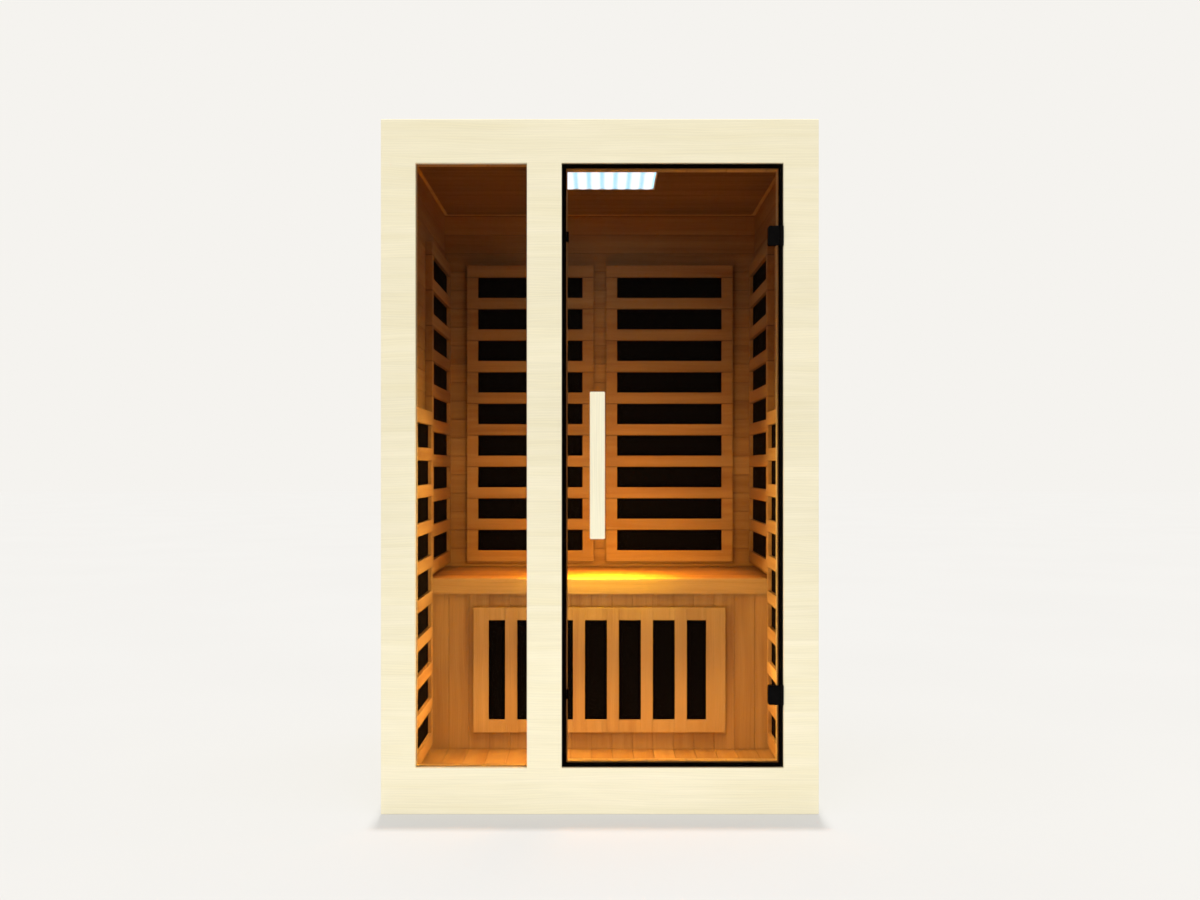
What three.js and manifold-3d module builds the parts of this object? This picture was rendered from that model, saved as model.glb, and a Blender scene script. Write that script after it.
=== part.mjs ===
// Two-person infrared sauna cabin: a timber box with a glazed front, slatted guards over its
// heater panels, a bench, a ceiling light and one glass door that opens outwards.
// Millimetres, +Z up, the front towards -Y. While building, Y is counted from the front face.

import * as THREE from "three";
import { mergeVertices } from "three/addons/utils/BufferGeometryUtils.js";
import Module from "manifold-3d";

// Driving dimensions

const FIT = 0.3; // assembly gap between pieces that touch
const PAST = 2; // how far a cutter runs past the face it cuts
const OVERLAP = 1; // how far joined shapes run into each other
const CABIN = { width: 1200, depth: 1040, height: 1905 };
const BOARD = { pitch: 66, thickness: 11, grooveWidth: 4, grooveDepth: 2 };
const WALL = { thickness: 45, batten: 60, bays: 3 };
const FLOOR = { top: 40 };
const ROOF = { ceiling: 1853, coverTop: 1896, cover: 9, rail: 44, joist: 30 };
const FRONT = { thickness: 45, facing: 16, leftStile: 94.5, window: 305.5, mullion: 95.5, ease: 1.5 };
const OPENING = { bottom: 127, top: 1785, doorWidth: 608 };
const PANE = { thickness: 6, rebate: 12, play: 2.5, beadEase: 2 };
const DOOR = { glass: 8, setback: 3, gap: 3, hingeGap: 7, arris: 0.8, stop: 15 };
const GASKET = { width: 12, ease: 1 };
const HINGE = {
  offset: 629.5, // from the door's mid height to each hinge
  axisFromJamb: 6,
  axisInFront: 2,
  height: 53,
  knuckle: 4.5,
  bore: 2.6,
  pin: 2.3,
  head: 3.9,
  headHeight: 2.2,
  middle: 18.4, // height of the clamp's own knuckle
  leaf: 2.5,
  leafReach: 12.8,
  plateLeft: 36,
  plateCorner: 5,
  frontPlate: 6.3,
  backPlate: 6,
  backPlateRight: 11,
  webLeft: 29.5,
  webRight: 12,
  webHeight: 24,
  notchPlay: 0.5,
  ease: 0.8,
};
const HANDLE = {
  x: -6.5,
  width: 41,
  height: 398,
  projection: 48,
  bar: 22,
  foot: 40,
  fillet: 14,
  round: 3,
  roundSteps: 2,
  bolt: 4,
  boltBore: 4.4,
  boltHole: 6,
  boltDepth: 22,
  boltEase: 1,
};
const CATCH = { height: 27, front: 13, depth: 19, right: -85.5, width: 6.4, ease: 0.8 };
const STRIKE = { width: 6.7, thickness: 1.4 };
const GUARD = {
  width: 452,
  depth: 23,
  slat: 11,
  lip: 12,
  backStile: 39.5,
  sideStile: 23.5,
  rail: 43.2,
  openingHeight: 72.8,
  pitch: 112.5,
  count: 9,
  ease: 1,
};
const HEATER_ROW = { high: 611, low: 67, backGap: 44, rearFrom: 520, frontFrom: 68 };
const BENCH = { top: 594, front: 556, seat: 20, fascia: 16, fasciaHeight: 50, nosing: 5, kick: 582 };
const CLEAT = { height: 40, depth: 30, bearer: 40, sideInset: 30 };
const KICK_GUARD = {
  left: -407,
  right: 404,
  bottom: 98,
  rail: 40,
  slotHeight: 321,
  depth: 22,
  slat: 11,
  lip: 12,
  slatProud: 1.5,
  leftStile: 49,
  rightStile: 62,
  slotWidth: 70.8,
  slotPitch: 109.2,
  slotCount: 7,
  middleSlot: -12.5,
};
const LIGHT = {
  x: 7.5,
  width: 339.4,
  length: 266.6,
  front: 318.7,
  flange: 4,
  rim: 5,
  overhang: 1.5,
  wall: 1.8,
  height: 26,
  plate: 3,
  flutes: 8,
  bulge: 3.2,
  fluteSteps: 6,
};
const POWER_BOX = { left: 150, right: 450, front: 700, back: 920, corner: 8, ease: 1.5 };
const INLET = {
  x: 300,
  y: 810,
  width: 50,
  length: 34,
  flange: 3,
  body: 40,
  bodyLength: 25,
  corner: 4,
  recess: 9,
};
const INLET_PIN = { width: 2, length: 5, height: 7, spacing: 7, count: 3 };
const PANEL = { x: -139, bottom: 1290, width: 76, height: 120, depth: 9, corner: 6, ease: 1.5 };
const DISPLAY = { width: 56, height: 30, fromTop: 12, recess: 1 };
const KEY = { columns: 3, rows: 2, width: 14, height: 12, gap: 5, proud: 0.8, corner: 2, fromBottom: 16 };
const ROUND_SIDES = 20;
const ARC_STEPS = 4;
const WELD = 1e-4;

// Places worked out from the driving dimensions

const halfWidth = CABIN.width / 2;
const innerX = halfWidth - WALL.thickness;
const innerBack = CABIN.depth - WALL.thickness;
const windowLeft = FRONT.leftStile - halfWidth;
const windowRight = windowLeft + FRONT.window;
const doorLeft = windowRight + FRONT.mullion;
const doorRight = doorLeft + OPENING.doorWidth;
const doorMiddle = (OPENING.bottom + OPENING.top) / 2;
const hingeLevels = { upper: doorMiddle + HINGE.offset, lower: doorMiddle - HINGE.offset };
const hingeX = doorRight - HINGE.axisFromJamb;
const hingeY = -HINGE.axisInFront;
const glassFront = DOOR.setback;
const glassBack = glassFront + DOOR.glass;
const coverBottom = ROOF.coverTop - ROOF.cover;
const handleFront = glassFront - HANDLE.projection;
const boltOffset = (HANDLE.height - HANDLE.foot) / 2;
const boltLevels = { upper: doorMiddle + boltOffset, lower: doorMiddle - boltOffset };
const guardHeight = (GUARD.count - 1) * GUARD.pitch + GUARD.openingHeight + 2 * GUARD.rail;

// Joining and cutting

const wasm = await Module();
wasm.setup();

function toSolid(geometry) {
  const bare = geometry.index ? geometry.toNonIndexed() : geometry.clone();
  bare.deleteAttribute("normal");
  bare.deleteAttribute("uv");
  const merged = mergeVertices(bare, WELD);
  const mesh = new wasm.Mesh({
    numProp: 3,
    vertProperties: Float32Array.from(merged.attributes.position.array),
    triVerts: Uint32Array.from(merged.index.array),
  });
  return new wasm.Manifold(mesh);
}

function fromSolid(solid) {
  const mesh = solid.getMesh();
  const geometry = new THREE.BufferGeometry();
  geometry.setAttribute("position", new THREE.BufferAttribute(mesh.vertProperties, 3));
  geometry.setIndex(new THREE.BufferAttribute(mesh.triVerts, 1));
  geometry.computeVertexNormals();
  return geometry;
}

function join(...shapes) {
  return fromSolid(shapes.map(toSolid).reduce((whole, next) => whole.add(next)));
}

function cut(shape, ...tools) {
  return fromSolid(tools.map(toSolid).reduce((whole, tool) => whole.subtract(tool), toSolid(shape)));
}

// Outlines and prisms

const xAxis = new THREE.Vector3(1, 0, 0);
const yAxis = new THREE.Vector3(0, 1, 0);
const zAxis = new THREE.Vector3(0, 0, 1);
const OUTLINE_PLANE = {
  x: new THREE.Matrix4().makeBasis(yAxis, zAxis, xAxis), // outline in y, z
  y: new THREE.Matrix4().makeBasis(xAxis, zAxis, yAxis.clone().negate()), // outline in x, z
  z: new THREE.Matrix4(), // outline in x, y
};

function toVectors(points) {
  return points.map(([u, v]) => new THREE.Vector2(u, v));
}

function rectangle(u0, u1, v0, v1) {
  return [[u0, v0], [u1, v0], [u1, v1], [u0, v1]];
}

function circle(u, v, radius) {
  const points = [];
  for (let side = 0; side < ROUND_SIDES; side += 1) {
    const turn = (2 * Math.PI * side) / ROUND_SIDES;
    points.push([u + radius * Math.cos(turn), v + radius * Math.sin(turn)]);
  }
  return points;
}

function roundedRectangle(u0, u1, v0, v1, radius) {
  const shape = new THREE.Shape();
  const quarter = Math.PI / 2;
  shape.absarc(u1 - radius, v0 + radius, radius, -quarter, 0);
  shape.absarc(u1 - radius, v1 - radius, radius, 0, quarter);
  shape.absarc(u0 + radius, v1 - radius, radius, quarter, 2 * quarter);
  shape.absarc(u0 + radius, v0 + radius, radius, 2 * quarter, 3 * quarter);
  shape.closePath();
  return shape;
}

// A prism along one axis. ease chamfers its end edges, in easeSteps steps.
function prism(axis, outline, from, to, { holes = [], ease = 0, easeSteps = 1 } = {}) {
  const shape = outline instanceof THREE.Shape ? outline : new THREE.Shape(toVectors(outline));
  shape.holes = holes.map((hole) => new THREE.Path(toVectors(hole)));
  const geometry = new THREE.ExtrudeGeometry(shape, {
    depth: to - from - 2 * ease,
    bevelEnabled: ease > 0,
    bevelThickness: ease,
    bevelSize: ease,
    bevelOffset: -ease,
    bevelSegments: easeSteps,
    curveSegments: ARC_STEPS,
  });
  const start = axis === "y" ? -to : from;
  geometry.translate(0, 0, start + ease);
  return geometry.applyMatrix4(OUTLINE_PLANE[axis]);
}

function block(x0, x1, y0, y1, z0, z1) {
  return prism("z", rectangle(x0, x1, y0, y1), z0, z1);
}

// Outline of tongue-and-groove boards side by side: a slab with a V at each joint of its face.
function boardOutline(from, to, back, face) {
  const dip = face + Math.sign(back - face) * BOARD.grooveDepth;
  const half = BOARD.grooveWidth / 2;
  const points = [[from, face], [from, back], [to, back], [to, face]];
  const joints = Math.ceil((to - from - half) / BOARD.pitch) - 1;
  for (let joint = joints; joint > 0; joint -= 1) {
    const at = from + joint * BOARD.pitch;
    points.push([at + half, face], [at, dip], [at - half, face]);
  }
  return points;
}

// Boards that lie flat or stand upright, running along one axis.
function lyingBoards(axis, from, to, across, back, face) {
  return prism(axis, boardOutline(...across, back, face), from, to);
}

function wallBoards(axis, from, to, levels, back, face) {
  const outline = boardOutline(...levels, back, face).map(([level, depth]) => [depth, level]);
  return prism(axis, outline, from, to);
}

// Ladder of battens in a rectangle, split by cross pieces into bays along its height.
function battenLadder(axis, u0, u1, v0, v1, from, to) {
  const bay = (v1 - v0 - WALL.batten) / WALL.bays;
  const holes = [];
  for (let step = 0; step < WALL.bays; step += 1) {
    const low = v0 + WALL.batten + step * bay;
    holes.push(rectangle(u0 + WALL.batten, u1 - WALL.batten, low, low + bay - WALL.batten));
  }
  return prism(axis, rectangle(u0, u1, v0, v1), from, to, { holes });
}

// Finishes

const FINISH = {
  paleWood: { color: 0xf0e9cd, roughness: 0.6, metalness: 0 },
  warmWood: { color: 0xd0a068, roughness: 0.62, metalness: 0 },
  plainWood: { color: 0xc9b48c, roughness: 0.8, metalness: 0 },
  bronzeGlass: { color: 0x6a4a2c, roughness: 0.05, metalness: 0, transparent: true, opacity: 0.4 },
  rubber: { color: 0x070606, roughness: 0.75, metalness: 0 },
  blackMetal: { color: 0x0c0b0b, roughness: 0.4, metalness: 0.7 },
  steel: { color: 0xb9bbbd, roughness: 0.35, metalness: 1 },
  heaterFace: { color: 0x120d0b, roughness: 0.7, metalness: 0 },
  whitePlastic: { color: 0xf4f7f6, roughness: 0.45, metalness: 0 },
  diffuser: { color: 0xdff8fb, roughness: 0.3, metalness: 0, emissive: 0x9adfe8 },
  blackPlastic: { color: 0x17171a, roughness: 0.5, metalness: 0 },
};

const cabin = new THREE.Group();
cabin.position.y = -(handleFront + CABIN.depth) / 2; // the origin is under the middle of the whole cabin

function add(name, finish, geometry, parent = cabin) {
  const mesh = new THREE.Mesh(geometry, new THREE.MeshStandardMaterial(FINISH[finish]));
  mesh.name = name;
  parent.add(mesh);
  return mesh;
}

// Floor

function addFloor() {
  const edge = innerX - FIT;
  const front = FRONT.thickness + FIT;
  const back = innerBack - FIT;
  const deckBottom = FLOOR.top - BOARD.thickness;
  add("floor_base", "plainWood", block(-edge, edge, front, back, 0, deckBottom - FIT));
  add("floor_deck", "warmWood", lyingBoards("y", front, back, [-edge, edge], deckBottom, FLOOR.top));
}

// Walls: outer cladding, ladder of battens, inner lining

function addSideWall(name, side) {
  const front = FRONT.thickness + FIT;
  const back = CABIN.depth - BOARD.thickness - FIT;
  const liningTop = ROOF.ceiling - FIT;
  const claddingTop = coverBottom - FIT;
  const outer = side * halfWidth;
  const claddingBack = side * (halfWidth - BOARD.thickness);
  const liningBack = side * (innerX + BOARD.thickness);
  const inner = side * innerX;
  const battens = [claddingBack - side * FIT, liningBack + side * FIT].sort((a, b) => a - b);
  const cladding = wallBoards("y", front, back, [0, claddingTop], claddingBack, outer);
  const ladder = battenLadder("x", front, back, FIT, liningTop, ...battens);
  const lining = wallBoards("y", front, back, [0, liningTop], liningBack, inner);
  add(`${name}_wall_cladding`, "paleWood", cladding);
  add(`${name}_wall_battens`, "plainWood", ladder);
  add(`${name}_wall_lining`, "warmWood", lining);
}

function addBackWall() {
  const edge = innerX - FIT;
  const liningTop = ROOF.ceiling - FIT;
  const claddingTop = coverBottom - FIT;
  const claddingBack = CABIN.depth - BOARD.thickness;
  const liningBack = innerBack + BOARD.thickness;
  const cladding = wallBoards("x", -halfWidth, halfWidth, [0, claddingTop], claddingBack, CABIN.depth);
  const ladder = battenLadder("y", -edge, edge, FIT, liningTop, liningBack + FIT, claddingBack - FIT);
  const lining = wallBoards("x", -edge, edge, [0, liningTop], liningBack, innerBack);
  add("back_wall_cladding", "paleWood", cladding);
  add("back_wall_battens", "plainWood", ladder);
  add("back_wall_lining", "warmWood", lining);
}

// Roof: ceiling boards inside a frame that stands on the walls, and a cover on top

function addRoof() {
  const frameX = halfWidth - BOARD.thickness - FIT;
  const front = FRONT.thickness + FIT;
  const frameBack = CABIN.depth - BOARD.thickness - FIT;
  const frameTop = coverBottom - FIT;
  const ceilingX = frameX - ROOF.rail - FIT;
  const ceilingFront = front + ROOF.rail + FIT;
  const ceilingBack = frameBack - ROOF.rail - FIT;
  const boardTop = ROOF.ceiling + BOARD.thickness;
  const { overhang } = LIGHT;
  const trayLeft = LIGHT.x - LIGHT.width / 2 + overhang - FIT;
  const trayRight = LIGHT.x + LIGHT.width / 2 - overhang + FIT;
  const trayFront = LIGHT.front + overhang - FIT;
  const trayBack = LIGHT.front + LIGHT.length - overhang + FIT;
  const boards = lyingBoards("x", -ceilingX, ceilingX, [ceilingFront, ceilingBack], boardTop, ROOF.ceiling);
  const lightHole = block(trayLeft, trayRight, trayFront, trayBack, ROOF.ceiling - PAST, boardTop + PAST);
  add("ceiling_lining", "warmWood", cut(boards, lightHole));

  const bay = rectangle(-ceilingX - FIT, ceilingX + FIT, ceilingFront - FIT, ceilingBack + FIT);
  const frame = rectangle(-frameX, frameX, front, frameBack);
  const ring = prism("z", frame, ROOF.ceiling, frameTop, { holes: [bay] });
  const reach = ceilingX + PAST;
  const joists = [trayFront - ROOF.rail, trayBack + ROOF.rail].map((y) =>
    block(-reach, reach, y - ROOF.joist / 2, y + ROOF.joist / 2, boardTop + FIT, frameTop),
  );
  add("roof_frame", "plainWood", join(ring, ...joists));

  const cover = block(-halfWidth, halfWidth, front, CABIN.depth, coverBottom, ROOF.coverTop);
  const halfBody = INLET.body / 2 + FIT;
  const halfLength = INLET.bodyLength / 2 + FIT;
  const inletHole = block(
    INLET.x - halfBody,
    INLET.x + halfBody,
    INLET.y - halfLength,
    INLET.y + halfLength,
    coverBottom - PAST,
    ROOF.coverTop + PAST,
  );
  add("roof_cover", "paleWood", cut(cover, inletHole));
}

// Power box in the roof space, with the mains inlet above it

function addPower() {
  const outline = roundedRectangle(
    POWER_BOX.left,
    POWER_BOX.right,
    POWER_BOX.front,
    POWER_BOX.back,
    POWER_BOX.corner,
  );
  const bottom = ROOF.ceiling + BOARD.thickness + FIT;
  const top = coverBottom - FIT;
  add("power_box", "blackPlastic", prism("z", outline, bottom, top - FIT, { ease: POWER_BOX.ease }));

  const { x, y, corner } = INLET;
  const flangeBottom = ROOF.coverTop + FIT;
  const flangeTop = flangeBottom + INLET.flange;
  const flangeOutline = roundedRectangle(
    x - INLET.width / 2,
    x + INLET.width / 2,
    y - INLET.length / 2,
    y + INLET.length / 2,
    corner,
  );
  const bodyX = INLET.body / 2;
  const bodyY = INLET.bodyLength / 2;
  const wall = INLET.flange;
  const flange = prism("z", flangeOutline, flangeBottom, flangeTop);
  const body = block(x - bodyX, x + bodyX, y - bodyY, y + bodyY, top, flangeBottom + FIT);
  const recessOutline = roundedRectangle(
    x - bodyX + wall,
    x + bodyX - wall,
    y - bodyY + wall,
    y + bodyY - wall,
    corner,
  );
  const recessBottom = flangeTop - INLET.recess;
  const recess = prism("z", recessOutline, recessBottom, flangeTop + PAST);
  const pins = [];
  for (let pin = 0; pin < INLET_PIN.count; pin += 1) {
    const px = x + (pin - (INLET_PIN.count - 1) / 2) * INLET_PIN.spacing;
    const halfPin = INLET_PIN.width / 2;
    const halfBlade = INLET_PIN.length / 2;
    const tip = recessBottom + INLET_PIN.height;
    pins.push(block(px - halfPin, px + halfPin, y - halfBlade, y + halfBlade, recessBottom - FIT, tip));
  }
  add("mains_inlet", "blackPlastic", join(cut(join(flange, body), recess), ...pins));
}

// Front panel: facing boards with two openings, and the frame behind that forms the door stop

// Cutter for an opening in the facing, flared where it meets the front face.
function facingOpening(left, right) {
  const { bottom, top } = OPENING;
  const { ease, facing } = FRONT;
  const flare = rectangle(left - ease, right + ease, bottom - ease, top + ease);
  const hole = block(left, right, -PAST, facing + PAST, bottom, top);
  return join(hole, prism("y", flare, -PAST - ease, ease, { ease }));
}

function addFront() {
  const outline = rectangle(-halfWidth, halfWidth, 0, CABIN.height);
  const facing = prism("y", outline, 0, FRONT.facing, { ease: FRONT.ease });
  const window = facingOpening(windowLeft, windowRight);
  const doorway = facingOpening(doorLeft, doorRight);
  add("front_facing", "paleWood", cut(facing, window, doorway));

  const { stop } = DOOR;
  const { rebate } = PANE;
  const stopOpening = rectangle(
    doorLeft + stop,
    doorRight - stop,
    OPENING.bottom + stop,
    OPENING.top - stop,
  );
  const paneOpening = rectangle(
    windowLeft - rebate,
    windowRight + rebate,
    OPENING.bottom - rebate,
    OPENING.top + rebate,
  );
  const frame = prism("y", outline, FRONT.facing + FIT, FRONT.thickness, {
    holes: [paneOpening, stopOpening],
  });
  const catchPockets = Object.values(hingeLevels).map((level) =>
    block(
      CATCH.right - CATCH.width - FIT,
      doorLeft + stop + PAST,
      CATCH.front - PAST,
      CATCH.front + CATCH.depth + FIT,
      level - CATCH.height / 2 - FIT,
      level + CATCH.height / 2 + FIT,
    ),
  );
  add("front_frame", "paleWood", cut(frame, ...catchPockets));
}

function addWindow() {
  const paneFront = FRONT.facing + 2 * FIT;
  const paneBack = paneFront + PANE.thickness;
  const margin = PANE.rebate - PANE.play;
  const pane = rectangle(
    windowLeft - margin,
    windowRight + margin,
    OPENING.bottom - margin,
    OPENING.top + margin,
  );
  add("window_glass", "bronzeGlass", prism("y", pane, paneFront, paneBack));

  const outer = PANE.rebate - FIT;
  const beadOutline = rectangle(
    windowLeft - outer,
    windowRight + outer,
    OPENING.bottom - outer,
    OPENING.top + outer,
  );
  const beadOpening = rectangle(windowLeft, windowRight, OPENING.bottom, OPENING.top);
  const options = { holes: [beadOpening], ease: PANE.beadEase };
  add("window_bead", "paleWood", prism("y", beadOutline, paneBack + FIT, FRONT.thickness, options));
}

// Door: glass with hinge notches and bolt holes, gasket on the stop, handles, catches

function addGasket() {
  const { width, ease } = GASKET;
  const outer = rectangle(
    doorLeft + FIT,
    doorRight - FIT,
    OPENING.bottom + FIT,
    OPENING.top - FIT,
  );
  const inner = rectangle(
    doorLeft + width,
    doorRight - width,
    OPENING.bottom + width,
    OPENING.top - width,
  );
  const gasket = prism("y", outer, glassBack + FIT, FRONT.facing, { holes: [inner], ease });
  add("door_gasket", "rubber", gasket);
}

function addDoorGlass() {
  const left = doorLeft + DOOR.gap;
  const right = doorRight - DOOR.hingeGap;
  const bottom = OPENING.bottom + DOOR.gap;
  const top = OPENING.top - DOOR.gap;
  const notchLeft = hingeX - HINGE.webLeft - HINGE.notchPlay;
  const notchHalf = HINGE.webHeight / 2 + HINGE.notchPlay;
  const outline = [[left, bottom], [right, bottom]];
  for (const level of [hingeLevels.lower, hingeLevels.upper]) {
    outline.push([right, level - notchHalf], [notchLeft, level - notchHalf]);
    outline.push([notchLeft, level + notchHalf], [right, level + notchHalf]);
  }
  outline.push([right, top], [left, top]);
  const holes = Object.values(boltLevels).map((level) => circle(HANDLE.x, level, HANDLE.boltHole));
  const glass = prism("y", outline, glassFront, glassBack, { holes, ease: DOOR.arris });
  add("door_glass", "bronzeGlass", glass);
}

// Grip bar milled from one piece, its two feet against the glass. away turns it to either side.
function handleShape(footFace, away) {
  const bottom = doorMiddle - HANDLE.height / 2;
  const top = doorMiddle + HANDLE.height / 2;
  const outside = footFace + away * (HANDLE.projection - FIT);
  const grip = outside - away * HANDLE.bar;
  const bend = grip - away * HANDLE.fillet;
  const lowFoot = bottom + HANDLE.foot;
  const highFoot = top - HANDLE.foot;
  const shape = new THREE.Shape();
  shape.moveTo(outside, bottom);
  shape.lineTo(footFace, bottom);
  shape.lineTo(footFace, lowFoot);
  shape.lineTo(bend, lowFoot);
  shape.quadraticCurveTo(grip, lowFoot, grip, lowFoot + HANDLE.fillet);
  shape.lineTo(grip, highFoot - HANDLE.fillet);
  shape.quadraticCurveTo(grip, highFoot, bend, highFoot);
  shape.lineTo(footFace, highFoot);
  shape.lineTo(footFace, top);
  shape.lineTo(outside, top);
  shape.closePath();
  return shape;
}

function addHandles() {
  const left = HANDLE.x - HANDLE.width / 2;
  const right = HANDLE.x + HANDLE.width / 2;
  const sides = [
    ["outer_handle", glassFront - FIT, -1],
    ["inner_handle", glassBack + FIT, 1],
  ];
  for (const [name, footFace, away] of sides) {
    const options = { ease: HANDLE.round, easeSteps: HANDLE.roundSteps };
    const bar = prism("x", handleShape(footFace, away), left, right, options);
    const boreEnds = [footFace - away * PAST, footFace + away * (HANDLE.boltDepth + FIT)];
    boreEnds.sort((a, b) => a - b);
    const bores = Object.values(boltLevels).map((level) =>
      prism("y", circle(HANDLE.x, level, HANDLE.boltBore), ...boreEnds),
    );
    add(name, "paleWood", cut(bar, ...bores));
  }
  for (const [place, level] of Object.entries(boltLevels)) {
    const from = glassFront - HANDLE.boltDepth;
    const to = glassBack + HANDLE.boltDepth;
    const bolt = prism("y", circle(HANDLE.x, level, HANDLE.bolt), from, to, { ease: HANDLE.boltEase });
    add(`${place}_handle_bolt`, "steel", bolt);
  }
}

function addCatches() {
  for (const [place, level] of Object.entries(hingeLevels)) {
    const low = level - CATCH.height / 2;
    const high = level + CATCH.height / 2;
    const body = rectangle(CATCH.right - CATCH.width, CATCH.right, low, high);
    const magnet = prism("y", body, CATCH.front, CATCH.front + CATCH.depth, { ease: CATCH.ease });
    add(`${place}_magnet_catch`, "blackPlastic", magnet);
    const plateLeft = doorLeft + GASKET.width + FIT;
    const plateFront = glassBack + FIT;
    const outline = rectangle(plateLeft, plateLeft + STRIKE.width, low, high);
    const plate = prism("y", outline, plateFront, plateFront + STRIKE.thickness);
    add(`${place}_strike_plate`, "blackMetal", plate);
  }
}

// Hinge, built about its own axis: a leaf on the jamb, a pin, and a clamp on the glass

function hingeLeaf() {
  const half = HINGE.height / 2;
  const halfMiddle = HINGE.middle / 2 + FIT;
  const plateRight = HINGE.axisFromJamb - FIT;
  const plate = block(plateRight - HINGE.leaf, plateRight, 0, HINGE.leafReach, -half, half);
  const knuckles = [
    prism("z", circle(0, 0, HINGE.knuckle), -half, -halfMiddle),
    prism("z", circle(0, 0, HINGE.knuckle), halfMiddle, half),
  ];
  const room = prism("z", circle(0, 0, HINGE.knuckle + 2 * FIT), -halfMiddle, halfMiddle);
  const bore = prism("z", circle(0, 0, HINGE.bore), -half - PAST, half + PAST);
  return cut(join(plate, ...knuckles), room, bore);
}

function hingePin() {
  const headFrom = HINGE.height / 2 + FIT;
  const headTo = headFrom + HINGE.headHeight;
  const profile = [
    [0, -headTo],
    [HINGE.head - HINGE.ease, -headTo],
    [HINGE.head, -headTo + HINGE.ease],
    [HINGE.head, -headFrom],
    [HINGE.pin, -headFrom],
    [HINGE.pin, headFrom],
    [HINGE.head, headFrom],
    [HINGE.head, headTo - HINGE.ease],
    [HINGE.head - HINGE.ease, headTo],
    [0, headTo],
  ];
  const lathe = new THREE.LatheGeometry(toVectors(profile), ROUND_SIDES);
  return lathe.rotateX(Math.PI / 2);
}

function hingeClamp() {
  const half = HINGE.height / 2;
  const halfMiddle = HINGE.middle / 2;
  const frontFace = glassFront - FIT - hingeY;
  const backFace = glassBack + FIT - hingeY;
  const plateRight = -HINGE.knuckle - 2 * FIT;
  const frontOutline = roundedRectangle(-HINGE.plateLeft, plateRight, -half, half, HINGE.plateCorner);
  const backOutline = roundedRectangle(
    -HINGE.plateLeft,
    -HINGE.backPlateRight,
    -half,
    half,
    HINGE.plateCorner,
  );
  const options = { ease: HINGE.ease };
  const frontPlate = prism("y", frontOutline, frontFace - HINGE.frontPlate, frontFace, options);
  const backPlate = prism("y", backOutline, backFace, backFace + HINGE.backPlate, options);
  const halfWeb = HINGE.webHeight / 2;
  const web = block(
    -HINGE.webLeft,
    -HINGE.webRight,
    frontFace - OVERLAP,
    backFace + OVERLAP,
    -halfWeb,
    halfWeb,
  );
  const knuckle = prism("z", circle(0, 0, HINGE.knuckle), -halfMiddle, halfMiddle);
  const neckFront = frontFace - HINGE.frontPlate;
  const neck = block(plateRight - PAST, 0, neckFront, HINGE.bore, -halfMiddle, halfMiddle);
  const bore = prism("z", circle(0, 0, HINGE.bore), -half, half);
  return cut(join(frontPlate, backPlate, web, neck, knuckle), bore);
}

function addHinges() {
  for (const [place, level] of Object.entries(hingeLevels)) {
    const hinge = new THREE.Group();
    hinge.position.set(hingeX, hingeY, level);
    cabin.add(hinge);
    add(`${place}_hinge_leaf`, "blackMetal", hingeLeaf(), hinge);
    add(`${place}_hinge_pin`, "blackMetal", hingePin(), hinge);
    add(`${place}_hinge_clamp`, "blackMetal", hingeClamp(), hinge);
  }
}

// Heaters: each panel lies in a pocket behind a slatted guard. In their own group the guard's
// face is at y = 0, its foot at z = 0, and the wall behind it is at y = depth.

function wallGuard(stile) {
  const half = GUARD.width / 2;
  const reach = half - stile;
  const back = GUARD.depth - FIT;
  const v = BOARD.grooveWidth / 2;
  const outline = [[0, 0], [back, 0], [back, guardHeight], [0, guardHeight]];
  const openings = [];
  for (let row = GUARD.count - 1; row >= 0; row -= 1) {
    const low = GUARD.rail + row * GUARD.pitch;
    const joint = low + GUARD.openingHeight;
    outline.push([0, joint + v], [BOARD.grooveDepth, joint], [0, joint - v]);
    openings.push(block(-reach, reach, -PAST, back + PAST, low, joint));
  }
  const pocketX = half - GUARD.lip;
  const pocket = block(-pocketX, pocketX, GUARD.slat, back + PAST, GUARD.lip, guardHeight - GUARD.lip);
  return cut(prism("x", outline, -half, half, { ease: GUARD.ease }), pocket, ...openings);
}

function heaterPanel(x0, x1, z0, z1, front, back) {
  const outline = rectangle(x0 + FIT, x1 - FIT, z0 + FIT, z1 - FIT);
  return prism("y", outline, front + FIT, back - FIT, { ease: GUARD.ease });
}

function addWallHeater(name, stile, x, y, z, turn) {
  const station = new THREE.Group();
  station.position.set(x, y, z);
  station.rotation.z = turn;
  cabin.add(station);
  const edge = GUARD.width / 2 - GUARD.lip;
  const top = guardHeight - GUARD.lip;
  const panel = heaterPanel(-edge, edge, GUARD.lip, top, GUARD.slat, GUARD.depth);
  add(`${name}_heater`, "heaterFace", panel, station);
  add(`${name}_guard`, "warmWood", wallGuard(stile), station);
}

function addWallHeaters() {
  const { width, depth, backStile, sideStile } = GUARD;
  const backX = (HEATER_ROW.backGap + width) / 2;
  const backY = innerBack - depth;
  addWallHeater("back_left", backStile, -backX, backY, HEATER_ROW.high, 0);
  addWallHeater("back_right", backStile, backX, backY, HEATER_ROW.high, 0);
  const sideX = innerX - depth;
  const rearY = HEATER_ROW.rearFrom + width / 2;
  const frontY = HEATER_ROW.frontFrom + width / 2;
  for (const [name, side] of [["left", -1], ["right", 1]]) {
    const turn = (-side * Math.PI) / 2;
    addWallHeater(`${name}_rear`, sideStile, side * sideX, rearY, HEATER_ROW.high, turn);
    addWallHeater(`${name}_front`, sideStile, side * sideX, frontY, HEATER_ROW.low, turn);
  }
}

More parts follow.
